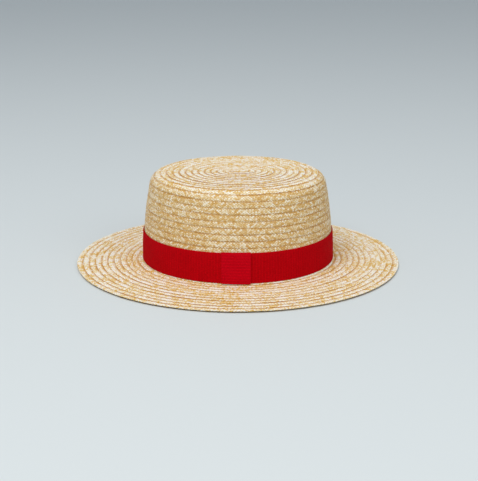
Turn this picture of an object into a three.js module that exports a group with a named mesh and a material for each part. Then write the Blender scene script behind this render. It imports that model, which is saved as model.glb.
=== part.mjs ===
// A straw boater hat, in millimetres, +Z up, standing on its brim on the plane z = 0.
// The origin is the middle of the oval on that plane. X runs along the oval's long axis, which is
// front to back on the head, and the ribbon's tab is on the -Y side, the wearer's left.
// The straw is one long flat plait, sewn round and round from the middle of the crown's tip to the
// brim's edge. Each row's outer edge lies on top of the next row, so the outside rises along each
// row and drops by a step at its edge. The crown and the brim are cut apart behind the ribbon.
import * as THREE from 'three';

// The oval of the head and the crown, measured over the straw
const CROWN_LENGTH = 191.4;
const CROWN_WIDTH = 179.4;
const CROWN_HEIGHT = 92.6;
const CROWN_TAPER = 7.3; // how far each side leans in between foot and shoulder
const SHOULDER_RADIUS = 12.5;
const TIP_DOME = 0.4;

// The brim
const BRIM_LENGTH = 326;
const BRIM_WIDTH = 314;
const BRIM_RISE = 1.2; // the brim is this much higher at the crown than at its edge
const RIM_WIDTH = 6.4; // the outermost stretch, which lies flat on the table
const FOOT_RADIUS = 3; // the hollow corner between the brim and the crown

// The plait
const STRAW_WALL = 2.2; // two plaits thick, where two rows overlap
const ROW_STEP = 0.9;
const ROW_WIDTH = 6.35; // what shows of each row
const TAIL_TURN = 0.14; // share of a turn in which the outermost row tapers to its end

// The ribbon and its tab
const RIBBON_BOTTOM = 5.1;
const RIBBON_WIDTH = 29.4;
const RIBBON_THICKNESS = 1;
const TAB_WIDTH = 28;
const TAB_OFFSET = -1.8; // the tab's middle along X
const CLEARANCE = 0.3;
const SEAM_HEIGHT = 12; // where crown and brim are cut apart, above the table

// How finely the curves are cut into flats
const SIDES = 48;
const TAB_SIDES = 6;
const FOOT_PARTS = 4;
const SHOULDER_PARTS = 2;
const RINGS = { tip: 2, shoulder: 3, side: 3, foot: 3, brim: 2, rim: 1 };

// The meridian of the straw's middle surface. Each stretch gives, for a distance along it, the
// mean radius r, the height z, and the slope angle of the outward normal from the vertical.
const HALF_WALL = STRAW_WALL / 2;
const CROWN_OVAL = (CROWN_LENGTH - CROWN_WIDTH) / 2;
const BRIM_OVAL = (BRIM_LENGTH - BRIM_WIDTH) / 2;
const MIDDLE = CROWN_OVAL / 2;

function meridian() {
  const sideRadius = (CROWN_LENGTH + CROWN_WIDTH) / 4 - HALF_WALL;
  const rimEdge = (BRIM_LENGTH + BRIM_WIDTH) / 4;
  const foot = FOOT_RADIUS + HALF_WALL;
  const brimTop = HALF_WALL + BRIM_RISE;
  const brimRun = rimEdge - RIM_WIDTH - sideRadius - foot;
  const tilt = Math.atan(BRIM_RISE / brimRun);
  const footZ = brimTop + foot * Math.cos(tilt);

  // The side is an arc that is upright at its foot and leans in by CROWN_TAPER at the shoulder.
  const shoulder = SHOULDER_RADIUS - HALF_WALL;
  const tipEdgeZ = CROWN_HEIGHT - HALF_WALL - TIP_DOME;
  let lean = 0;
  let sideHeight = 0;
  for (let i = 0; i < 20; i++) {
    sideHeight = tipEdgeZ - footZ - shoulder * (1 - Math.sin(lean));
    lean = 2 * Math.atan(CROWN_TAPER / sideHeight);
  }
  const sideArc = sideHeight / Math.sin(lean);
  const shoulderR = sideRadius - CROWN_TAPER - shoulder * Math.cos(lean);
  const shoulderZ = tipEdgeZ - shoulder;
  const tipRun = shoulderR - MIDDLE;

  const right = Math.PI / 2;
  return [
    { name: 'tip', length: tipRun, at: (d) => ({
      r: MIDDLE + d,
      z: tipEdgeZ + TIP_DOME * (1 - (d / tipRun) ** 2),
      slope: Math.atan((2 * TIP_DOME * d) / tipRun ** 2) }) },
    { name: 'shoulder', length: shoulder * (right - lean), at: (d) => ({
      r: shoulderR + shoulder * Math.sin(d / shoulder),
      z: shoulderZ + shoulder * Math.cos(d / shoulder),
      slope: d / shoulder }) },
    { name: 'side', length: sideArc * lean, at: (d) => {
      const left = lean - d / sideArc;
      return {
        r: sideRadius - sideArc * (1 - Math.cos(left)),
        z: footZ + sideArc * Math.sin(left),
        slope: right - left };
    } },
    { name: 'foot', length: foot * (right - tilt), at: (d) => {
      const slope = right - d / foot;
      return {
        r: sideRadius + foot - foot * Math.sin(slope),
        z: footZ - foot * Math.cos(slope),
        slope };
    } },
    { name: 'brim', length: brimRun, at: (d) => ({
      r: sideRadius + foot + d,
      z: brimTop - BRIM_RISE * (d / brimRun),
      slope: tilt }) },
    { name: 'rim', length: RIM_WIDTH, at: (d) => ({
      r: rimEdge - RIM_WIDTH + d,
      z: HALF_WALL,
      slope: 0 }) },
  ];
}

const STRETCHES = meridian();
STRETCHES.reduce((start, stretch) => {
  stretch.start = start;
  stretch.end = start + stretch.length;
  return stretch.end;
}, 0);
const TOTAL = STRETCHES.at(-1).end;
const stretchNamed = (name) => STRETCHES.find((stretch) => stretch.name === name);

function onMeridian(s) {
  const stretch = STRETCHES.find((one) => s < one.end) ?? STRETCHES.at(-1);
  return stretch.at(Math.min(Math.max(s - stretch.start, 0), stretch.length));
}

// How much longer the oval is than wide, on each side, at a mean radius r
function ovalAt(r) {
  const footR = onMeridian(stretchNamed('foot').end).r;
  const edgeR = onMeridian(TOTAL).r;
  const share = THREE.MathUtils.clamp((r - footR) / (edgeR - footR), 0, 1);
  return THREE.MathUtils.lerp(CROWN_OVAL, BRIM_OVAL, share);
}

// A turn of 0 is at the back of the picture, +Y, and the turns run anticlockwise from above.
const planAngle = (turn) => Math.PI / 2 + 2 * Math.PI * turn;

function ovalPoint(r, z, turn) {
  const oval = ovalAt(r) / 2;
  const angle = planAngle(turn);
  return new THREE.Vector3((r + oval) * Math.cos(angle), (r - oval) * Math.sin(angle), z);
}

// The point at distance s along the meridian, lift above the straw's middle surface
function strawPoint(s, turn, lift) {
  const { r, z, slope } = onMeridian(s);
  const oval = ovalAt(r) / 2;
  const angle = planAngle(turn);
  const out = lift * Math.sin(slope);
  return new THREE.Vector3(
    (r + oval + out) * Math.cos(angle),
    (r - oval + out) * Math.sin(angle),
    z + lift * Math.cos(slope));
}

// The rows: row n starts at rowStart(n, turn), and moves out by one row in each turn. On the crown
// it does so evenly, and on the brim ever later in the turn, so that the brim's edge stays an oval.
const ROWS = Math.max(2, Math.round(TOTAL / ROW_WIDTH));
const ROW_PITCH = TOTAL / ROWS;
const BRIM_ROW = Math.floor(stretchNamed('brim').start / ROW_PITCH);

function rowStart(n, turn) {
  const onBrim = THREE.MathUtils.clamp((n - BRIM_ROW) / (ROWS - 1 - BRIM_ROW), 0, 1);
  const ramp = THREE.MathUtils.lerp(1, TAIL_TURN, onBrim);
  const moved = THREE.MathUtils.clamp((turn - 1 + ramp) / ramp, 0, 1);
  return ROW_PITCH * (n + moved);
}

// The outside's lift, from a low start to the edge that lies on the next row
const ROW_LOW = HALF_WALL - ROW_STEP;
function rowLift({ start, end }, s) {
  if (end <= start) return ROW_LOW;
  const step = ROW_STEP * Math.min(1, (end - start) / ROW_PITCH);
  return ROW_LOW + (step * (s - start)) / (end - start);
}

// A row is one flat across its width, and more where it bends round the shoulder or the foot.
function rowParts(n) {
  const crosses = (name) => {
    const { start, end } = stretchNamed(name);
    return (n + 2) * ROW_PITCH > start && n * ROW_PITCH < end;
  };
  if (crosses('foot')) return FOOT_PARTS;
  return crosses('shoulder') ? SHOULDER_PARTS : 1;
}

// The places across a row of its corners, as shares of its width. Those in between open out from
// the row's start along the first row that has them, and close up again along the last.
function rowShares(n, turn) {
  const parts = rowParts(n);
  let open = 1;
  if (rowParts(n - 1) < parts) open = turn;
  else if (rowParts(n + 1) < parts) open = 1 - turn;
  return Array.from({ length: parts + 1 }, (_, i) => (i === parts ? 1 : (open * i) / parts));
}

// The outside's corners at one turn between two places on the meridian, a low and a high one for
// each row. Corners past either place close up on it, so that every turn has as many.
function outsideCorners(from, to, turn) {
  const rows = [];
  for (let n = -1; n < ROWS; n++) {
    rows.push({ start: Math.max(rowStart(n, turn), 0), end: Math.min(rowStart(n + 1, turn), TOTAL) });
  }
  const first = rows.find(({ start, end }) => from >= start && from < end);
  const last = rows.find(({ start, end }) => to > start && to <= end);
  const firstCorner = strawPoint(from, turn, rowLift(first, from));
  const lastCorner = strawPoint(to, turn, rowLift(last, to));
  const corners = [firstCorner];
  rows.forEach((row, index) => {
    for (const share of rowShares(index - 1, turn)) {
      const s = THREE.MathUtils.lerp(row.start, row.end, share);
      if (s <= from) corners.push(firstCorner);
      else if (s >= to) corners.push(lastCorner);
      else corners.push(strawPoint(s, turn, rowLift(row, s)));
    }
  });
  corners.push(lastCorner);
  return corners;
}

// The inside is smooth, with a few rings on each stretch.
function insideCorners(from, to, turn) {
  const places = [from];
  for (const { name, start, length } of STRETCHES) {
    for (let i = 0; i < RINGS[name]; i++) {
      const s = start + (length * i) / RINGS[name];
      if (s > from + 1 && s < to - 1) places.push(s);
    }
  }
  places.push(to);
  return places.map((s) => strawPoint(s, turn, -HALF_WALL));
}

// A closed mesh from a list of triangles' corners: corners closer than WELD become one, and
// triangles that this closes up are left out.
const WELD = 0.01;
function closedGeometry(triangles) {
  const seen = new Map();
  const positions = [];
  const indexOf = (p) => {
    const key = [p.x, p.y, p.z].map((v) => Math.round(v / WELD)).join();
    if (!seen.has(key)) {
      seen.set(key, positions.length / 3);
      positions.push(p.x, p.y, p.z);
    }
    return seen.get(key);
  };
  const index = [];
  for (const triangle of triangles) {
    const [a, b, c] = triangle.map(indexOf);
    if (a !== b && b !== c && c !== a) index.push(a, b, c);
  }
  const geometry = new THREE.BufferGeometry();
  geometry.setAttribute('position', new THREE.Float32BufferAttribute(positions, 3));
  geometry.setIndex(index);
  geometry.computeVertexNormals();
  return geometry;
}

// Joins loops of corners, one loop for each turn, into a skin. Each loop runs clockwise as seen
// by someone who looks along the way that the turns go. Its last corner joins its first, unless
// both ends lie in the hat's middle, where the loops of opposite turns meet.
function skin(loops, triangles, endsInMiddle = false) {
  for (let j = 0; j + 1 < loops.length; j++) {
    const [near, far] = [loops[j], loops[j + 1]];
    const count = endsInMiddle ? near.length - 1 : near.length;
    for (let i = 0; i < count; i++) {
      const k = (i + 1) % near.length;
      triangles.push([near[i], near[k], far[k]], [near[i], far[k], far[i]]);
    }
  }
}

function strawSolid(from, to) {
  const loops = [];
  for (let j = 0; j <= SIDES; j++) {
    const turn = (j % SIDES) / SIDES;
    const outside = outsideCorners(from, to, j / SIDES);
    loops.push([...outside, ...insideCorners(from, to, turn).reverse()]);
  }
  const triangles = [];
  skin(loops, triangles, from === 0);
  return closedGeometry(triangles);
}

// The straw's outermost surface beside a height on the crown's side or foot, as a mean radius
function strawOuterRadius(z) {
  const side = stretchNamed('side');
  let [low, high] = [side.start, stretchNamed('foot').end];
  for (let i = 0; i < 50; i++) {
    const s = (low + high) / 2;
    const at = onMeridian(s);
    if (at.z + HALF_WALL * Math.cos(at.slope) > z) low = s;
    else high = s;
  }
  const { r, slope } = onMeridian(low);
  return r + HALF_WALL * Math.sin(slope);
}

function distanceAtHeight(z) {
  const side = stretchNamed('side');
  let [low, high] = [side.start, side.end];
  for (let i = 0; i < 50; i++) {
    const s = (low + high) / 2;
    if (onMeridian(s).z > z) low = s;
    else high = s;
  }
  return low;
}

// A section of [mean radius, height] corners swept round the oval, whole or in part. The section
// runs clockwise as seen by someone who looks along the way that the turns go.
function sweptSolid(section, turns) {
  const loops = turns.map((turn) => section.map(([r, z]) => ovalPoint(r, z, turn)));
  const triangles = [];
  skin(loops, triangles);
  const whole = turns.at(-1) - turns[0] > 0.999;
  if (!whole) {
    const flat = section.map(([r, z]) => new THREE.Vector2(r, z));
    for (const [a, b, c] of THREE.ShapeUtils.triangulateShape(flat, [])) {
      const [first, last] = [loops[0], loops.at(-1)];
      triangles.push([first[a], first[b], first[c]], [last[a], last[c], last[b]]);
    }
  }
  return closedGeometry(triangles);
}

// The ribbon's inner side at a height: it lies on the straw and, near its lower edge, on the foot.
const RIBBON_TOP = RIBBON_BOTTOM + RIBBON_WIDTH;
const RIBBON_LEVELS = [0, 0.1, 0.25, 0.6, 1];
const ribbonInner = (z) => strawOuterRadius(z) + CLEARANCE;

function ribbonBandGeometry() {
  const heights = RIBBON_LEVELS.map((share) => RIBBON_BOTTOM + share * RIBBON_WIDTH);
  const inner = heights.map((z) => [ribbonInner(z), z]);
  const outer = heights.map((z) => [ribbonInner(z) + RIBBON_THICKNESS, z]);
  const turns = Array.from({ length: SIDES + 1 }, (_, j) => j / SIDES);
  return sweptSolid([...outer.reverse(), ...inner], turns);
}

// The tab is a short length of the same ribbon, folded over the band's two edges.
function ribbonTabGeometry() {
  const gap = CLEARANCE;
  const wall = RIBBON_THICKNESS;
  const [top, bottom] = [RIBBON_TOP + gap, RIBBON_BOTTOM - gap];
  const face = (z) => ribbonInner(z) + RIBBON_THICKNESS + gap;
  const levels = RIBBON_LEVELS.map((share) => RIBBON_BOTTOM + share * RIBBON_WIDTH);
  const front = levels.map((z) => [face(z) + wall, z]).reverse();
  const back = levels.map((z) => [face(z), z]);
  const underneath = strawOuterRadius(bottom - wall) + gap;
  const section = [
    [ribbonInner(top + wall), top + wall],
    [face(RIBBON_TOP) + wall / 2, top + wall],
    ...front,
    [face(RIBBON_BOTTOM) + wall / 2, bottom - wall],
    [underneath, bottom - wall],
    [underneath, bottom],
    [face(RIBBON_BOTTOM), bottom],
    ...back,
    [face(RIBBON_TOP), top],
    [ribbonInner(top), top],
  ];
  const reach = CROWN_LENGTH / 2 + 2 * (CLEARANCE + RIBBON_THICKNESS);
  const turnOf = (x) => Math.asin(x / reach) / (2 * Math.PI);
  const middle = 0.5 + turnOf(TAB_OFFSET);
  const half = turnOf(TAB_WIDTH / 2);
  const turns = Array.from({ length: TAB_SIDES + 1 },
    (_, j) => middle - half + (2 * half * j) / TAB_SIDES);
  return sweptSolid(section, turns);
}

const straw = new THREE.MeshStandardMaterial({ color: 0xe2c795, roughness: 0.55, metalness: 0 });
const brimStraw = new THREE.MeshStandardMaterial({ color: 0xe4cb9c, roughness: 0.55, metalness: 0 });
const ribbon = new THREE.MeshStandardMaterial({ color: 0xa80512, roughness: 0.7, metalness: 0 });
const tabRibbon = new THREE.MeshStandardMaterial({ color: 0xb40716, roughness: 0.7, metalness: 0 });

function addPiece(group, name, geometry, material) {
  const mesh = new THREE.Mesh(geometry, material);
  mesh.name = name;
  group.add(mesh);
}

const seam = distanceAtHeight(SEAM_HEIGHT);
const hat = new THREE.Group();
addPiece(hat, 'crown', strawSolid(0, seam), straw);
addPiece(hat, 'brim', strawSolid(seam + CLEARANCE, TOTAL), brimStraw);
addPiece(hat, 'ribbon_band', ribbonBandGeometry(), ribbon);
addPiece(hat, 'ribbon_tab', ribbonTabGeometry(), tabRibbon);

export default hat;
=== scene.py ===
"""A straw boater hat: sewn straw plait on the crown and the brim, a ribbed red ribbon and its tab.

Sizes are in millimetres until a mesh is made, and then in metres. The straw's surface is described
as in the solids: a meridian from the middle of the tip to the brim's edge, swept round an oval.
"""

import math

import bmesh
import bpy
import numpy as np
from mathutils import Euler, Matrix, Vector


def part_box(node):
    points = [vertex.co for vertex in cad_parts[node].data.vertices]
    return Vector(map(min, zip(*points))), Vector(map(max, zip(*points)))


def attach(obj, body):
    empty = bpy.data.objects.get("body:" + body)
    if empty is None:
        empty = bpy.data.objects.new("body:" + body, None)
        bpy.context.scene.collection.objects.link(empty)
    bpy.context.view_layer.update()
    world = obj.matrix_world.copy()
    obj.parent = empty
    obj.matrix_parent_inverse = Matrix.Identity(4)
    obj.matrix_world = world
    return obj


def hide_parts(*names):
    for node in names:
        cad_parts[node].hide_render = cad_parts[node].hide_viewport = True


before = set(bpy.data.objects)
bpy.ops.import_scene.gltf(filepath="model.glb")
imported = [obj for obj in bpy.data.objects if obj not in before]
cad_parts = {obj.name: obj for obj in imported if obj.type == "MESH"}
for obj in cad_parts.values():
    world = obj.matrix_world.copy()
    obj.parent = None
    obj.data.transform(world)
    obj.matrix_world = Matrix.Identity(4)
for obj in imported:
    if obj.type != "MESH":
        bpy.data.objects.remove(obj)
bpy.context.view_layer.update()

MM = 0.001


def box_mm(node):
    low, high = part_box(node)
    return np.array(low) / MM, np.array(high) / MM


# The hat's sizes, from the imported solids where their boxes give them
CROWN_HEIGHT = box_mm("crown")[1][2]
BRIM_LOW, BRIM_HIGH = box_mm("brim")
BRIM_LENGTH, BRIM_WIDTH = (BRIM_HIGH - BRIM_LOW)[:2]
SEAM_HEIGHT = BRIM_HIGH[2]
CROWN_LENGTH, CROWN_WIDTH = 191.4, 179.4
CROWN_TAPER = 7.3
SHOULDER_RADIUS = 12.5
TIP_DOME = 0.4
BRIM_RISE = 1.2
RIM_WIDTH = 6.4
FOOT_RADIUS = 3.0
WALL = 2.2
HALF_WALL = WALL / 2
CROWN_OVAL = (CROWN_LENGTH - CROWN_WIDTH) / 2
BRIM_OVAL = (BRIM_LENGTH - BRIM_WIDTH) / 2

# The plait and its rows
ROW_WIDTH = 6.35  # how much of a row shows, before the rows are fitted to the meridian
ROW_STEP = 0.56  # how far a row comes out below the one that covers its inner edge
ROW_HUMP = 0.26  # how far the middle of a row bulges
TAIL_TURN = 0.14  # the share of a turn in which the outermost rows move out
START_TURN = -0.85  # the plait begins under the middle of the tip, before the first row
PLAIT_WIDTH = 7.8
PLAIT_THICKNESS = 0.9
PLAIT_CELLS = 7  # half lozenges across the plait
HALF_ACROSS = PLAIT_WIDTH / PLAIT_CELLS
HALF_ALONG = 1.45  # half a lozenge along the plait
SCALLOP = 0.3  # how far the straws stand out where they turn back at the plait's edges
RELIEF = 0.11  # how far a straw rises in the middle of a lozenge
RELIEF_SPREAD = 0.05
SIDE_RELIEF, LEVEL_RELIEF = 0.8, 0.75  # how boldly the rows stand on the side, tip and brim
EDGE_FALL, EDGE_RISE = 0.1, 0.25  # how far the plait thins at its edges, from above and below
UNEVEN, UNEVEN_MID = 0.07, 0.05  # how far the lozenges' corners and half cells wander
SHARP_ANGLE = 38
TURN_SAMPLES = 40000

# The tones of the straw, from 0 for golden to 1 for pale
TONES = 65521  # how many are drawn, a prime
STRAW_LENGTH = 210  # how long one straw lasts before the next is laid in
STRAW_MEAN, STRAW_SPREAD = 0.33, 0.34
LOZENGE_SPREAD = 0.27
RIBBON_SHADE, RIBBON_REACH = 0.16, 22  # the brim is more golden beside the ribbon

# The golden line where a row comes out from under the next, part the straw's own colour at the seam
# and part painted shade in the crevice: its share of the row's width, and how much of its colour is
# taken by the row's upper side, by its edge and by the hat's outer edge
SIDE_TUCK, LEVEL_TUCK = 0.32, 0.5
TUCK_TINT_AND_SHADE, EDGE_TUCK, RIM_TUCK = 0.8, 2, 0.3

# The side's look, its bolder rows and its darker painted-shade colours, sets in this far along from
# the shoulder's start and ends at the foot
SIDE_INSET, SIDE_FADE = 8, 10


def make_meridian():
    """Distances along the straw's middle surface, and the mean radius, height and slope there."""
    side_radius = (CROWN_LENGTH + CROWN_WIDTH) / 4 - HALF_WALL
    rim_edge = (BRIM_LENGTH + BRIM_WIDTH) / 4
    middle = CROWN_OVAL / 2
    foot = FOOT_RADIUS + HALF_WALL
    brim_top = HALF_WALL + BRIM_RISE
    brim_run = rim_edge - RIM_WIDTH - side_radius - foot
    tilt = math.atan(BRIM_RISE / brim_run)
    foot_z = brim_top + foot * math.cos(tilt)
    shoulder = SHOULDER_RADIUS - HALF_WALL
    tip_edge_z = CROWN_HEIGHT - HALF_WALL - TIP_DOME
    lean = 0.0
    for _ in range(20):
        side_height = tip_edge_z - foot_z - shoulder * (1 - math.sin(lean))
        lean = 2 * math.atan(CROWN_TAPER / side_height)
    side_arc = side_height / math.sin(lean)
    shoulder_r = side_radius - CROWN_TAPER - shoulder * math.cos(lean)
    tip_run = shoulder_r - middle
    right = math.pi / 2

    share = np.linspace(0, 1, 200, endpoint=False)
    tip = tip_run * share
    turn = (right - lean) * share
    rise = lean * (1 - share)
    bend = right - (right - tilt) * share
    stretches = {
        "tip": (
            tip_run,
            middle + tip,
            tip_edge_z + TIP_DOME * (1 - share**2),
            np.arctan(2 * TIP_DOME * tip / tip_run**2),
        ),
        "shoulder": (
            shoulder * (right - lean),
            shoulder_r + shoulder * np.sin(turn),
            tip_edge_z - shoulder + shoulder * np.cos(turn),
            turn,
        ),
        "side": (
            side_arc * lean,
            side_radius - side_arc * (1 - np.cos(rise)),
            foot_z + side_arc * np.sin(rise),
            right - rise,
        ),
        "foot": (
            foot * (right - tilt),
            side_radius + foot - foot * np.sin(bend),
            foot_z - foot * np.cos(bend),
            bend,
        ),
        "brim": (
            brim_run,
            side_radius + foot + brim_run * share,
            brim_top - BRIM_RISE * share,
            np.full_like(share, tilt),
        ),
        "rim": (
            RIM_WIDTH,
            rim_edge - RIM_WIDTH + RIM_WIDTH * share,
            np.full_like(share, HALF_WALL),
            np.zeros_like(share),
        ),
    }
    places, start, starts = [], 0.0, {}
    for name, (length, *_) in stretches.items():
        starts[name] = start
        places.append(start + length * share)
        start += length
    columns = [np.concatenate([s[i] for s in stretches.values()]) for i in (1, 2, 3)]
    table = [np.append(c, end) for c, end in zip(columns, (rim_edge, HALF_WALL, 0.0))]
    return np.append(np.concatenate(places), start), table, starts, start


PLACES, (RADII, HEIGHTS, SLOPES), STARTS, TOTAL = make_meridian()
ROWS = round(TOTAL / ROW_WIDTH)
ROW_PITCH = TOTAL / ROWS
BRIM_ROW = math.floor(STARTS["brim"] / ROW_PITCH)
FOOT_OUTER = float(np.interp(STARTS["brim"], PLACES, RADII))


def surface(s, turns, lift):
    """Points on the straw at distances s, after so many turns, lifted off its middle surface."""
    r = np.interp(s, PLACES, RADII) + np.maximum(s - TOTAL, 0)
    z = np.interp(s, PLACES, HEIGHTS)
    slope = np.interp(s, PLACES, SLOPES)
    share = np.clip((r - FOOT_OUTER) / (RADII[-1] - FOOT_OUTER), 0, 1)
    oval = (CROWN_OVAL + (BRIM_OVAL - CROWN_OVAL) * share) / 2
    angle = math.pi / 2 + 2 * math.pi * turns
    out = lift * np.sin(slope)
    x = (r + oval + out) * np.cos(angle)
    y = (r - oval + out) * np.sin(angle)
    return np.stack([x, y, z + lift * np.cos(slope)], axis=-1)


def row_start(n, turn):
    """Where row n starts at a share of its turn. On the brim it moves out late in the turn."""
    on_brim = np.clip((n - BRIM_ROW) / (ROWS - 1 - BRIM_ROW), 0, 1)
    ramp = 1 + (TAIL_TURN - 1) * on_brim
    return ROW_PITCH * (n + np.clip((turn - 1 + ramp) / ramp, 0, 1))


def plait_edge(turns):
    """The plait's outer edge, and how far it lies under the row before, after so many turns."""
    n = np.floor(turns)
    edge = row_start(n + 1, turns - n)
    return np.minimum(edge, TOTAL), np.clip((edge - TOTAL) / ROW_PITCH, 0, 1)


def evenly_spaced_turns():
    """Turns at which the plait has run on by half a lozenge each time."""
    turns = np.linspace(START_TURN, ROWS, TURN_SAMPLES)
    points = surface(plait_edge(turns)[0] - PLAIT_WIDTH / 2, turns, 0)
    lengths = np.linalg.norm(np.diff(points, axis=0), axis=1)
    along = np.concatenate([[0], np.cumsum(np.maximum(lengths, 1e-4))])
    count = int(along[-1] / HALF_ALONG)
    return np.interp(np.arange(count + 1) * HALF_ALONG, along, turns)


def wobble(count, spacing, amount, seed):
    """A smooth random course: a new value every so many steps, with easy curves in between."""
    rng = np.random.default_rng(seed)
    knots = rng.normal(0, 1, count // spacing + 3)
    at = np.arange(count) / spacing
    i = at.astype(int)
    t = at - i
    t = t * t * (3 - 2 * t)
    return amount * (knots[i] * (1 - t) + knots[i + 1] * t)


TURNS = evenly_spaced_turns()
STEPS = len(TURNS)
EDGE_WOBBLE = wobble(STEPS, 22, 0.16, 11)
LIFT_WOBBLE = wobble(STEPS, 17, 0.07, 12)
TONE_WOBBLE = wobble(STEPS + 1, 5, 0.09, 13)


def new_mesh(name, vertices_mm, faces):
    """A new object of faces over vertices in millimetres."""
    mesh = bpy.data.meshes.new(name)
    mesh.from_pydata((vertices_mm * MM).tolist(), [], faces.tolist())
    mesh.validate()
    obj = bpy.data.objects.new(name, mesh)
    bpy.context.scene.collection.objects.link(obj)
    return obj


def set_values(mesh, name, domain, values):
    attribute = mesh.attributes.new(name, "FLOAT", domain)
    attribute.data.foreach_set("value", np.asarray(values, dtype=np.float32))


def straw_tones(a, b, first, level):
    """The tone of the straw that shows in each lozenge, by the straw's own course."""
    step = b + first
    rising = step % 2 == 0
    born = np.where(rising, step - a, step + a - 2 * PLAIT_CELLS)
    end = np.mod(born, 2 * PLAIT_CELLS)
    shift = end * 37 % 101
    straw = np.floor((born * HALF_ALONG + shift * 4) / STRAW_LENGTH).astype(int)
    # Steps by primes, so that straws and lozenges beside each other draw unlike tones
    by_straw = (straw * 131 + end * 7919 + 104729) % TONES
    by_lozenge = (step * 911 + a * 3571) % TONES
    rng = np.random.default_rng(5)
    straws = rng.beta(1.1, 1.1, TONES)
    lozenges = rng.normal(0, LOZENGE_SPREAD, TONES)
    tones = straws[by_straw] * STRAW_SPREAD + STRAW_MEAN
    tones = tones + lozenges[by_lozenge] * (1 + 0.35 * level)
    tones = tones + TONE_WOBBLE[step] * (0.5 + 1.6 * level)
    return np.clip(tones, 0, 1)


def on_side(s):
    """1 for distances on the crown's side, 0 on the tip and the brim, with soft changes between."""
    inside = np.minimum(s - STARTS["shoulder"] - SIDE_INSET, STARTS["foot"] - s)
    return np.clip(inside / SIDE_FADE + 0.6, 0, 1)


def weave_faces(nb, first):
    """The faces of nb half lozenges of plait, and of each its place across, along and its side.

    The vertices are numbered through the upper lattice, the lower lattice, the high half cells and
    the low half cells. The side is 1 above and 0 below. Faces of the plait's rim are at -1 across.
    """
    na = PLAIT_CELLS
    size, mids = (na + 1) * (nb + 1), na * nb

    def lattice(a, b):
        return a * (nb + 1) + b

    def mid(a, b, high):
        return 2 * size + np.where(high, 0, mids) + a * nb + b

    a, b = np.meshgrid(np.arange(na + 1), np.arange(nb + 1), indexing="ij")
    centre = (a + b) % 2 == 1
    ca, cb = a[centre], b[centre]
    rising = (cb + first) % 2 == 0
    # Each quadrant of a lozenge: its two corners, the half cell between them, and whether the
    # edge there is the side of a rising straw
    quadrants = [
        ((1, 0), (0, 1), (0, 0), False),
        ((0, 1), (-1, 0), (-1, 0), True),
        ((-1, 0), (0, -1), (-1, -1), False),
        ((0, -1), (1, 0), (0, -1), True),
    ]
    faces, cells = [], []
    for (a0, b0), (a1, b1), (qa, qb), along_rising in quadrants:
        ok = (ca + qa >= 0) & (ca + qa < na) & (cb + qb >= 0) & (cb + qb < nb)
        xa, xb, up = ca[ok], cb[ok], rising[ok]
        c = lattice(xa, xb)
        p, q = lattice(xa + a0, xb + b0), lattice(xa + a1, xb + b1)
        high = up == along_rising
        m = mid(xa + qa, xb + qb, high)
        faces += [np.stack([c, p, m], 1), np.stack([c, m, q], 1)]
        faces.append(np.stack([c + size, q + size, p + size], 1))
        top_cell = np.stack([xa, xb, np.ones_like(xa)], 1)
        cells += [top_cell, top_cell, top_cell * (1, 1, 0)]
        other = mid(xa + qa, xb + qb, np.zeros_like(high))[high]
        ph, qh, mh = p[high], q[high], m[high]
        faces += [np.stack([mh, ph, other], 1), np.stack([qh, mh, other], 1)]
        cells += [top_cell[high]] * 2

    def wall(along):
        """Closes the strip's rim along a line of lattice places, upper side to lower side."""
        near, far = along[:-1], along[1:]
        faces.append(np.stack([far, near, near + size], 1))
        faces.append(np.stack([far, near + size, far + size], 1))
        where = np.stack([np.full_like(near, -1), near % (nb + 1), np.ones_like(near)], 1)
        cells.extend([where, where])

    along_b, across_a = np.arange(nb + 1), np.arange(na + 1)
    wall(lattice(na, along_b))
    wall(lattice(0, along_b)[::-1])
    wall(lattice(across_a, 0))
    wall(lattice(across_a, nb)[::-1])
    return np.concatenate(faces), np.concatenate(cells)


def mark_straws(mesh, cells, edge, dips, first):
    """Each face's tone, how level it lies and how far it is tucked in, and each vertex's dip. The
    tuck and the dip set where the shader paints shade.
    """
    across, step = cells[:, 0], np.minimum(cells[:, 1], len(edge) - 1)
    s = edge[step] - PLAIT_WIDTH + across * HALF_ACROSS
    level = 1 - on_side(s)
    tones = straw_tones(across, cells[:, 1], first, level)
    past_foot = s - STARTS["brim"]
    by_ribbon = np.clip(1 - past_foot / RIBBON_REACH, 0, 1) * (past_foot > 0)
    set_values(mesh, "tone", "FACE", np.clip(tones - RIBBON_SHADE * by_ribbon, 0, 1))
    set_values(mesh, "dip", "POINT", dips)

    # How far each face is tucked in sets the golden seam line, part the straw's own colour and part
    # painted shade
    inner = across * HALF_ACROSS
    covered = np.where(cells[:, 2] == 1, PLAIT_WIDTH - inner, inner)
    line = SIDE_TUCK + (LEVEL_TUCK - SIDE_TUCK) * level
    share = np.clip(1.3 - (1 - covered / ROW_PITCH) * 1.3 / line, 0, 1)
    # The plait's edge walls take the painted edge shade, less of it on the hat's outer rim
    at_side = np.where(edge[step] > TOTAL - 1, RIM_TUCK, EDGE_TUCK)
    tuck = share * share * (3 - 2 * share) * np.where(across >= 0, TUCK_TINT_AND_SHADE, at_side)
    set_values(mesh, "tuck", "FACE", tuck)
    set_values(mesh, "level", "FACE", level)


def lay_straws(mesh, rising, a, b):
    """A map of each face's corners along and across its straw, from their places in the lattice."""
    along = b * HALF_ALONG
    across = a * HALF_ACROSS * np.where(rising.repeat(3), 1, -1)
    norm = math.hypot(HALF_ALONG, HALF_ACROSS)
    u = (along * HALF_ALONG + across * HALF_ACROSS) / norm
    v = (across * HALF_ALONG - along * HALF_ACROSS) / norm
    layer = mesh.uv_layers.new(name="straw")
    layer.data.foreach_set("uv", (np.stack([u, v], 1) * MM).astype(np.float32).ravel())


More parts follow.
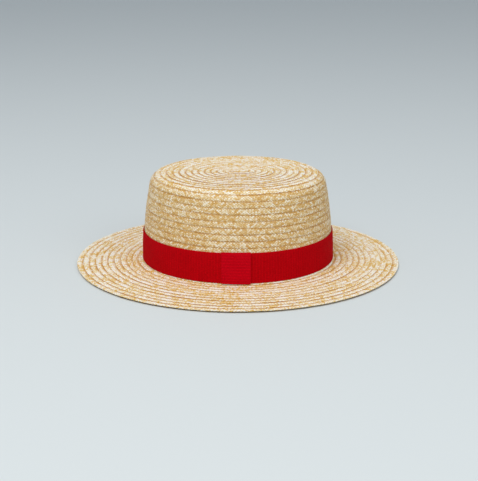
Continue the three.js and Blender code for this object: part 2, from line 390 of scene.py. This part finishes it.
def plait_strip(name, first, last):
    """A stretch of plait between two steps, as one closed mesh with its woven lozenges."""
    na, nb = PLAIT_CELLS, last - first
    rng = np.random.default_rng(1000 + first)
    turns = TURNS[first : last + 1]
    edge, under = plait_edge(turns)
    edge = edge + EDGE_WOBBLE[first : last + 1] * np.clip((TOTAL - edge) / 20, 0.25, 1)
    lift = HALF_WALL - ROW_STEP * under + LIFT_WOBBLE[first : last + 1]
    turn_step = np.gradient(turns)

    def place(a, b, h, jitter):
        """Points at lattice places (a across, b along), h above the plait's own upper side."""
        shift = rng.normal(0, jitter, a.shape)
        across = np.clip(a * HALF_ACROSS + rng.normal(0, jitter, a.shape), -SCALLOP, None)
        at = np.clip(b, 0, nb)
        low = np.minimum(at.astype(int), nb - 1)
        t = at - low
        e = edge[low] * (1 - t) + edge[low + 1] * t
        up = lift[low] * (1 - t) + lift[low + 1] * t
        turn = turns[low] * (1 - t) + turns[low + 1] * t + turn_step[low] * shift / HALF_ALONG
        s = np.maximum(e - (PLAIT_WIDTH - across), 0)
        shown = 1 - (PLAIT_WIDTH - across) / ROW_PITCH
        bold = LEVEL_RELIEF + (SIDE_RELIEF - LEVEL_RELIEF) * on_side(s)
        hump = ROW_HUMP * np.sin(np.pi * np.clip(shown, 0, 1))
        return surface(s, turn, up + bold * (hump - ROW_STEP * (1 - shown)) + h)

    a, b = np.meshgrid(np.arange(na + 1), np.arange(nb + 1), indexing="ij")
    centre = (a + b) % 2 == 1
    at_edge = (a == 0) | (a == na)
    out = np.where(at_edge & centre, np.where(a == 0, -SCALLOP, SCALLOP), 0.0) / HALF_ACROSS
    raised = RELIEF + rng.normal(0, RELIEF_SPREAD, a.shape)
    h_top = np.where(centre, raised, -0.02 + rng.normal(0, 0.02, a.shape))
    h_top = np.where(at_edge, -EDGE_FALL, h_top)
    top = place(a + out, b, h_top, UNEVEN)
    h_low = np.where(centre, -0.1, 0.03) - PLAIT_THICKNESS
    h_low = np.where(at_edge, EDGE_RISE - PLAIT_THICKNESS, h_low)
    low = place(a + out, b, h_low, UNEVEN)

    ma, mb = np.meshgrid(np.arange(na) + 0.5, np.arange(nb) + 0.5, indexing="ij")
    high_mid = place(ma, mb, RELIEF * 0.72 + rng.normal(0, 0.03, ma.shape), UNEVEN_MID)
    low_mid = place(ma, mb, -RELIEF * 0.7 + rng.normal(0, 0.03, ma.shape), UNEVEN_MID)

    vertices = np.concatenate([m.reshape(-1, 3) for m in (top, low, high_mid, low_mid)])
    # 0 in the middle of a lozenge, 1 where a straw goes down under the next; the shader paints
    # shade by it
    corner = np.where(centre, 0.0, 1.0).ravel()
    dips = np.concatenate([corner, corner, np.full(ma.size, 0.45), np.ones(ma.size)])
    places_a = np.concatenate([a.ravel(), a.ravel(), ma.ravel(), ma.ravel()])
    places_b = np.concatenate([b.ravel(), b.ravel(), mb.ravel(), mb.ravel()]) + first

    faces, cells = weave_faces(nb, first)
    used, inverse = np.unique(faces, return_inverse=True)
    faces = inverse.reshape(faces.shape)
    obj = new_mesh(name, vertices[used], faces)
    mark_straws(obj.data, cells, edge, dips[used], first)
    corners = used[faces.ravel()]
    rising = (cells[:, 1] + first) % 2 == 0
    lay_straws(obj.data, rising, places_a[corners], places_b[corners])
    obj.data.shade_smooth()
    obj.data.set_sharp_from_angle(angle=math.radians(SHARP_ANGLE))
    return obj


def new_material(name):
    material = bpy.data.materials.new(name)
    material.use_nodes = True
    tree = material.node_tree
    return material, tree, tree.nodes["Principled BSDF"]


def add(tree, kind, **settings):
    """A new shader node. Settings that start with in_ are the values of its sockets."""
    node = tree.nodes.new("ShaderNode" + kind)
    for key, value in settings.items():
        if key.startswith("in_"):
            node.inputs[key[3:].replace("_", " ")].default_value = value
        else:
            setattr(node, key, value)
    return node


def attribute(tree, name):
    return add(tree, "Attribute", attribute_name=name).outputs["Fac"]


def stretched(tree, vector, scale):
    node = add(tree, "Mapping")
    node.inputs["Scale"].default_value = scale
    tree.links.new(vector, node.inputs["Vector"])
    return node.outputs["Vector"]


def noise(tree, vector, scale, detail, course=None):
    """A noise over a vector. Another course gives another noise in the same places."""
    dimensions = "3D" if course is None else "4D"
    node = add(
        tree, "TexNoise", noise_dimensions=dimensions, in_Scale=scale, in_Detail=detail)
    tree.links.new(vector, node.inputs["Vector"])
    if course is not None:
        tree.links.new(course, node.inputs["W"])
    return node.outputs["Fac"]


def bump(tree, shader, height, strength):
    node = add(tree, "Bump", in_Strength=strength, in_Distance=0.0002)
    tree.links.new(height, node.inputs["Height"])
    tree.links.new(node.outputs["Normal"], shader.inputs["Normal"])


def linear(srgb):
    """A colour of 0 to 255 sRGB values as linear RGBA."""
    c = [x / 255 for x in srgb]
    return [x / 12.92 if x <= 0.04045 else ((x + 0.055) / 1.055) ** 2.4 for x in c] + [1.0]


def ramp(tree, source, stops):
    """A colour for a value from 0 to 1, by stops of a place and an sRGB colour."""
    node = add(tree, "ValToRGB")
    elements = node.color_ramp.elements
    while len(elements) < len(stops):
        elements.new(0.5)
    for element, (place, colour) in zip(elements, stops):
        element.position = place
        element.color = linear(colour)
    tree.links.new(source, node.inputs["Fac"])
    return node.outputs["Color"]


def mix(tree, kind, factor, a, b):
    node = add(tree, "Mix", data_type="RGBA", blend_type=kind)
    for socket, value in ((0, factor), (6, a), (7, b)):
        if isinstance(value, bpy.types.NodeSocket):
            tree.links.new(value, node.inputs[socket])
        else:
            node.inputs[socket].default_value = value
    return node.outputs[2]


def math_node(tree, operation, a, b):
    node = add(tree, "Math", operation=operation)
    for i, value in enumerate((a, b)):
        if isinstance(value, bpy.types.NodeSocket):
            tree.links.new(value, node.inputs[i])
        else:
            node.inputs[i].default_value = value
    return node.outputs[0]


def plus(tree, a, b):
    return math_node(tree, "ADD", a, b)


def minus(tree, a, b):
    return math_node(tree, "SUBTRACT", a, b)


def times(tree, a, b):
    return math_node(tree, "MULTIPLY", a, b)


def held(tree, value):
    """A value held between 0 and 1."""
    node = add(tree, "Clamp")
    tree.links.new(value, node.inputs["Value"])
    return node.outputs[0]


# The colours of the straw, from golden to pale, on the crown's side and on the tip and the brim.
# The two are painted light: the level tip and brim are painted paler than the upright side, as they
# are lit more.
SHADED_SIDE_STOPS = [
    (0.0, (210, 167, 92)),
    (0.3, (223, 193, 128)),
    (0.6, (232, 215, 172)),
    (0.85, (242, 236, 214)),
    (1.0, (247, 247, 236)),
]
LIT_LEVEL_STOPS = [
    (0.0, (229, 190, 100)),
    (0.25, (243, 222, 160)),
    (0.45, (250, 248, 226)),
    (0.7, (252, 253, 248)),
    (1.0, (253, 255, 254)),
]
# The seam lines: part the straw's own golden colour, part painted shade in the crevice between rows
SIDE_SEAM_TINT_AND_SHADE = (186, 130, 48)
LEVEL_SEAM_TINT_AND_SHADE = (208, 148, 20)
# Painted shade on each row's edge wall, in the crevice between rows
ROW_EDGE_SHADE = (198, 136, 44)
# Painted shade in the dips where a straw goes under the next
DIP_SHADE = (224, 188, 134)
SPECKS = [(0.0, (172, 130, 70)), (0.3, (255, 255, 255))]
# How often the noises change in a metre: along and across a straw, and over the whole hat
STREAKS, GRAIN = (160, 2600, 1), (600, 1100, 1)
PATCHES, SPECKLES, BREAKS = 34.0, 420.0, 170.0


def straw_material(name):
    """Split straws in their own tones, with fine stripes along each and worn patches over all.
    Shade is painted along the rows' seams and in the weave's dips, and the level tip and brim are
    painted paler than the upright side.
    """
    material, tree, shader = new_material(name)
    tone, level = attribute(tree, "tone"), attribute(tree, "level")
    tuck, dip = attribute(tree, "tuck"), attribute(tree, "dip")
    position = add(tree, "TexCoord").outputs["Object"]
    uv = add(tree, "UVMap", uv_map="straw").outputs["UV"]

    # Each straw's tone, changed by worn patches, stripes and grain, and more golden near a row's
    # seam, partly as painted shade
    streak = noise(tree, stretched(tree, uv, STREAKS), 1.0, 3.0, times(tree, tone, 40.0))
    grain = noise(tree, stretched(tree, uv, GRAIN), 1.0, 1.0, times(tree, tone, 90.0))
    patch = noise(tree, position, PATCHES, 2.0)
    patchy = plus(tree, times(tree, level, 0.2), 0.12)
    shifted = plus(tree, tone, times(tree, minus(tree, patch, 0.5), patchy))
    shifted = plus(tree, shifted, times(tree, minus(tree, streak, 0.5), 0.35))
    shifted = plus(tree, shifted, times(tree, minus(tree, grain, 0.5), 3.2))
    shifted = minus(tree, shifted, times(tree, tuck, 0.2))
    # Painted light: the upright side takes the darker shaded ramp, and the level tip and brim take
    # the paler lit one
    shaded_upright, lit_lying = ramp(tree, shifted, SHADED_SIDE_STOPS), ramp(tree, shifted, LIT_LEVEL_STOPS)
    colour = mix(tree, "MIX", level, shaded_upright, lit_lying)
    spots = ramp(tree, noise(tree, position, SPECKLES, 2.0), SPECKS)
    colour = mix(tree, "MULTIPLY", 0.5, colour, spots)

    # The golden line where a row comes out from under the next, part the straw's own colour and
    # part painted shade, fading and broken, and the row's edge darkened as painted shade in the
    # crevice
    strength = plus(tree, times(tree, level, 0.1), times(tree, patch, 1.65))
    gaps = times(tree, noise(tree, position, BREAKS, 0.0), 3.0)
    broken = held(tree, minus(tree, gaps, 0.45))
    line = mix(tree, "MIX", level, linear(SIDE_SEAM_TINT_AND_SHADE), linear(LEVEL_SEAM_TINT_AND_SHADE))
    amount = times(tree, tuck, times(tree, strength, broken))
    colour = mix(tree, "MIX", amount, colour, line)
    # Painted shade: each row's edge wall is darkened as in the crevice between rows
    edge = held(tree, minus(tree, tuck, 1.0))
    colour = mix(tree, "MULTIPLY", edge, colour, linear(ROW_EDGE_SHADE))

    # Painted shade in the dips where a straw goes under the next
    depth = minus(tree, 0.7, times(tree, level, 0.15))
    colour = mix(tree, "MULTIPLY", times(tree, dip, depth), colour, linear(DIP_SHADE))
    tree.links.new(colour, shader.inputs["Base Color"])

    rough = plus(tree, times(tree, streak, 0.25), 0.42)
    tree.links.new(rough, shader.inputs["Roughness"])
    bump(tree, shader, streak, 0.35)
    shader.inputs["Specular IOR Level"].default_value = 0.3
    shader.inputs["Subsurface Weight"].default_value = 0.06
    shader.inputs["Subsurface Radius"].default_value = (0.002, 0.0012, 0.0005)
    shader.inputs["Subsurface Scale"].default_value = 1.0
    return material


def step_at_distance(s):
    """The step at which the middle of the plait reaches a distance along the meridian."""
    edge = plait_edge(TURNS)[0] - ROW_PITCH / 2
    return int(np.argmax(edge >= s))


def seam_distance():
    """The distance along the meridian at which the crown is cut from the brim."""
    side = (PLACES > STARTS["side"]) & (PLACES < STARTS["brim"])
    return float(PLACES[side][np.argmin(np.abs(HEIGHTS[side] - SEAM_HEIGHT))])


def straw():
    """The sewn plait, in stretches that each stand for the solid they lie on."""
    crown_straw, brim_straw = straw_material("crown_straw"), straw_material("brim_straw")
    shoulder = step_at_distance(STARTS["side"] - 4)
    seam = step_at_distance(seam_distance())
    middle = (shoulder + seam) // 2
    brim_half = (seam + STEPS - 1) // 2
    stretches = [
        ("crown_tip", 0, shoulder, "crown", "crown_straw", crown_straw),
        ("crown_side_upper", shoulder, middle, "crown", "crown_straw", crown_straw),
        ("crown_side_lower", middle, seam, "crown", "crown_straw", crown_straw),
        ("brim_inner", seam, brim_half, "brim", "brim_straw", brim_straw),
        ("brim_outer", brim_half, STEPS - 1, "brim", "brim_straw", brim_straw),
    ]
    for name, first, last, node, slot, material in stretches:
        piece = plait_strip(name, first, last)
        piece.data.materials.append(material)
        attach(piece, "root")
        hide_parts(node)


# The ribbon
BAND_LOW, BAND_HIGH = box_mm("ribbon_band")
BAND_BOTTOM, BAND_TOP = BAND_LOW[2] - 0.3, BAND_HIGH[2]
RIB = 1.4  # rib to rib
RIB_POINTS = 4
RIB_DEPTH = 0.18
RIBBON_THICKNESS = 1.0
RIB_SEAT = 0.2  # how far the grooves between the ribs lie below the ribbon's thickness
CLEARANCE = 0.3
JOIN_COLUMNS = 120  # how many columns from the ribbon's join its unevenness fades over
TAB_WIDTH = 28.0
TAB_MIDDLE = -1.8
TAB_BELOW, TAB_ABOVE = 0.2, 0.9  # how far the tab's folds reach past the band's edges
TAB_BOW = 0.35
RIBBON_SHARP_ANGLE = 60


def straw_outer(z):
    """The mean radius of the straw's outside at heights on the crown's side or foot."""
    side = (PLACES >= STARTS["side"]) & (PLACES <= STARTS["brim"])
    outer_z = HEIGHTS[side] + HALF_WALL * np.cos(SLOPES[side])
    outer_r = RADII[side] + HALF_WALL * np.sin(SLOPES[side])
    return np.interp(z, outer_z[::-1], outer_r[::-1])


def rib_profile(position):
    """Height of the ribs, every second one a little prouder than the ones beside it."""
    wave = 0.5 - 0.5 * np.cos(2 * np.pi * position / RIB)
    proud = 0.65 + 0.35 * np.sin(np.pi * position / RIB)
    return np.sqrt(np.clip(wave, 0, 1)) * proud


def band():
    """The ribbon round the foot of the crown, its edges and its ribs a little uneven."""
    perimeter = math.pi * (BAND_HIGH[0] + BAND_HIGH[1])
    ribs = 2 * round(perimeter / RIB / 2)
    columns = ribs * RIB_POINTS
    j = np.arange(columns)
    turns = j / columns
    rib = rib_profile(j / RIB_POINTS * RIB)
    # Up the ribbon: its thin woven edges, and its ribs, which fade there
    shares = np.array([0, 0.015, 0.05, 0.2, 0.4, 0.6, 0.8, 0.95, 0.985, 1.0])
    selvedge = np.array([-0.25, 0.0, 0.1, 0, 0, 0, 0, 0.1, 0.0, -0.25])
    relief = np.array([0.3, 0.7, 1, 1, 1, 1, 1, 1, 0.7, 0.3]) * RIB_DEPTH
    # The wobbles fade out where the ribbon meets itself
    from_join = np.minimum(1, np.minimum(j, columns - j) / JOIN_COLUMNS)
    lean = wobble(columns, 90, 0.14, 21) * from_join
    drift = wobble(columns, 120, 0.12, 22) * from_join

    def ring(share, lift):
        height = BAND_BOTTOM + (BAND_TOP - BAND_BOTTOM) * share
        r = straw_outer(np.full(columns, height))
        r = r + CLEARANCE + lift + lean * (1 - share) * 0.6
        angle = math.pi / 2 + 2 * math.pi * turns
        oval = CROWN_OVAL / 2
        x, y = (r + oval) * np.cos(angle), (r - oval) * np.sin(angle)
        return np.stack([x, y, height + drift], 1)

    rings = [
        ring(share, RIBBON_THICKNESS - RIB_SEAT + edge + rib * depth)
        for share, edge, depth in zip(shares, selvedge, relief)
    ]
    inside = (0.99, 0.5, 0.2, 0.08, 0.01)
    rings += [ring(share, 0.0) for share in inside]
    piece = closed_rings("band", rings)
    rib_heights = [np.tile(rib, len(shares)), np.ones(len(inside) * columns)]
    set_values(piece.data, "rib", "POINT", np.concatenate(rib_heights))
    return piece


def closed_rings(name, rings):
    """A closed tube of rings, each joined to the next and the last to the first."""
    count, columns = len(rings), len(rings[0])
    i, j = np.meshgrid(np.arange(count), np.arange(columns), indexing="ij")
    i, j = i.ravel(), j.ravel()
    k, l = (i + 1) % count, (j + 1) % columns
    index = [i * columns + j, i * columns + l, k * columns + l, k * columns + j]
    obj = new_mesh(name, np.concatenate(rings), np.stack(index, 1))
    obj.data.shade_smooth()
    obj.data.set_sharp_from_angle(angle=math.radians(RIBBON_SHARP_ANGLE))
    return obj


def tab():
    """The short length of ribbon folded over the band's edges, its ribs level."""
    half = TAB_WIDTH / 2
    across = np.array([-1, -0.995, -0.97, -0.93, -0.8, -0.5, 0, 0.5, 0.8, 0.93, 0.97, 0.995, 1])
    # The left edge lies close to the band, and the right edge stands off it and turns in
    edge_lift = np.array(
        [-0.8, -0.7, -0.55, -0.5, -0.4, -0.25, -0.1, 0.05, 0.15, 0.28, 0.42, 0.2, -0.5])
    front_bottom, front_top = BAND_BOTTOM - TAB_BELOW, BAND_TOP + TAB_ABOVE
    height = front_top - front_bottom
    rows = round(height / RIB) * RIB_POINTS
    z = front_bottom + height * np.arange(rows + 1) / rows
    share = (z - front_bottom) / height
    # The front bows out between its folded ends, and each end turns back over the band's edge
    fold = np.clip(np.minimum(share, 1 - share) / 0.05, 0, 1)
    rounded = np.sqrt(1 - (1 - fold) ** 2)
    bow = TAB_BOW * np.sin(np.pi * share) ** 0.6
    rib = rib_profile(z - front_bottom)
    base = straw_outer(z) + CLEARANCE
    front = base + RIBBON_THICKNESS + 0.35 + rounded * 0.75 + bow + rib * RIB_DEPTH * fold
    back = base + RIBBON_THICKNESS + 0.15
    front = np.maximum(front, back + 0.1)

    def column(u, lift, radius):
        x = TAB_MIDDLE + u * half
        r = radius + lift * fold
        oval = CROWN_OVAL / 2
        reach = np.sqrt(np.clip(1 - (x / (r + oval)) ** 2, 0, 1))
        drop = (-0.1 + 0.5 * (u + 1) / 2) * (1 - share) ** 4
        return np.stack([np.full_like(z, x), -(r - oval) * reach, z - drop], 1)

    columns = [column(u, lift, front) for u, lift in zip(across, edge_lift)]
    columns += [column(u, 0, back) for u in (0.99, 0.5, 0, -0.5, -0.99)]
    grid = np.stack(columns)
    count, rows_all = grid.shape[:2]
    i, j = np.meshgrid(np.arange(count), np.arange(rows_all - 1), indexing="ij")
    i, j = i.ravel(), j.ravel()
    k = (i + 1) % count
    here, beside = i * rows_all + j, k * rows_all + j
    index = np.stack([here, beside, beside + 1, here + 1], 1)
    obj = new_mesh("tab", grid.reshape(-1, 3), index)
    set_values(obj.data, "rib", "POINT", np.tile(rib, count))
    fill_ends(obj)
    obj.data.shade_smooth()
    obj.data.set_sharp_from_angle(angle=math.radians(RIBBON_SHARP_ANGLE))
    return obj


def fill_ends(obj):
    """Closes a mesh's open loops and turns all of its faces outward."""
    work = bmesh.new()
    work.from_mesh(obj.data)
    bmesh.ops.holes_fill(work, edges=[e for e in work.edges if e.is_boundary], sides=0)
    bmesh.ops.triangulate(work, faces=[f for f in work.faces if len(f.verts) > 4])
    bmesh.ops.recalc_face_normals(work, faces=work.faces)
    work.to_mesh(obj.data)
    work.free()


# The ribbon's colours: the lighter and the darker patches of the dye, the threads, and the painted
# shade in the grooves between the ribs
BAND_DYE = [(0.3, (200, 0, 13)), (0.7, (208, 0, 16))]
# Painted light: the tab is painted a lighter red than the band, though both are the same ribbon
TAB_LIT_DYE = [(0.3, (212, 0, 23)), (0.7, (220, 2, 26))]
THREADS = [(0.3, (205, 205, 205)), (0.7, (255, 255, 255))]
GROOVE_SHADE = [(0.0, (233, 233, 233)), (0.8, (255, 255, 255))]
LEVEL_THREADS, UPRIGHT_THREADS = (500, 500, 4000), (4000, 500, 500)


def ribbon_material(name, red_stops, direction):
    """Ribbed ribbon: fine threads across the ribs, a slightly uneven dye, and painted shade in the
    grooves between the ribs.
    """
    material, tree, shader = new_material(name)
    position = add(tree, "TexCoord").outputs["Object"]
    colour = ramp(tree, noise(tree, position, 55.0, 3.0), red_stops)
    thread = noise(tree, stretched(tree, position, direction), 1.0, 2.0)
    colour = mix(tree, "MULTIPLY", 1.0, colour, ramp(tree, thread, THREADS))
    # Painted shade: the grooves between the ribs are darkened
    groove_shade = ramp(tree, attribute(tree, "rib"), GROOVE_SHADE)
    colour = mix(tree, "MULTIPLY", 1.0, colour, groove_shade)
    tree.links.new(colour, shader.inputs["Base Color"])
    bump(tree, shader, thread, 0.3)
    shader.inputs["Roughness"].default_value = 0.8
    shader.inputs["Specular IOR Level"].default_value = 0.04
    return material


def ribbon():
    """The band and its tab, each in its own length of the same ribbon."""
    pieces = [
        (band(), "ribbon_band", "band_ribbon", BAND_DYE, LEVEL_THREADS),
        (tab(), "ribbon_tab", "tab_ribbon", TAB_LIT_DYE, UPRIGHT_THREADS),
    ]
    for piece, node, slot, red_stops, direction in pieces:
        piece.data.materials.append(ribbon_material(slot, red_stops, direction))
        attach(piece, "root")
        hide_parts(node)


# The camera, as the photograph was taken: its place, its tilt and its focal length
CAMERA_PLACE = (0.0, -1.0936, 0.3534)
CAMERA_PITCH, CAMERA_TURN = 16.96, -0.06
FOCAL_PIXELS = 1120.2
IMAGE_LONG_SIDE = 481
SENSOR = 36.0
FLOOR_HEIGHT = -0.0001  # just below the brim


def camera():
    data = bpy.data.cameras.new("camera")
    data.sensor_width = SENSOR
    data.lens = SENSOR * FOCAL_PIXELS / IMAGE_LONG_SIDE
    data.clip_start, data.clip_end = 0.05, 50
    obj = bpy.data.objects.new("camera", data)
    obj.location = CAMERA_PLACE
    pitch, turn = math.radians(90 - CAMERA_PITCH), math.radians(CAMERA_TURN)
    obj.rotation_euler = Euler((pitch, 0, turn))
    bpy.context.scene.collection.objects.link(obj)
    bpy.context.scene.camera = obj


def area_light(name, place, target, size, power, colour):
    """A round soft light at a place, turned to its target."""
    data = bpy.data.lights.new(name, "AREA")
    data.shape = "DISK"
    data.size, data.energy, data.color = size, power, colour
    obj = bpy.data.objects.new(name, data)
    obj.location = place
    obj.rotation_euler = (Vector(target) - Vector(place)).to_track_quat("-Z", "Y").to_euler()
    bpy.context.scene.collection.objects.link(obj)


def studio():
    """A pale floor, a large key light from the upper left, a weak fill and an even sky."""
    bpy.ops.mesh.primitive_plane_add(size=12, location=(0, 0, FLOOR_HEIGHT))
    floor = bpy.context.object
    floor.name = "floor"
    material, _, shader = new_material("floor")
    shader.inputs["Base Color"].default_value = linear((212, 217, 217))
    shader.inputs["Roughness"].default_value = 0.7
    floor.data.materials.append(material)
    centre = (0, 0, 0.04)
    area_light("key", (-0.5, -1.1, 2.2), centre, 2.0, 41, (1.0, 0.99, 0.97))
    area_light("fill", (1.5, -1.5, 1.4), centre, 1.6, 9, (0.97, 0.99, 1.0))
    world = bpy.data.worlds.new("studio")
    bpy.context.scene.world = world
    world.use_nodes = True
    background = world.node_tree.nodes["Background"]
    background.inputs["Color"].default_value = linear((214, 222, 230))
    background.inputs["Strength"].default_value = 0.62
    bpy.context.scene.view_settings.view_transform = "Standard"


camera()
studio()
straw()
ribbon()
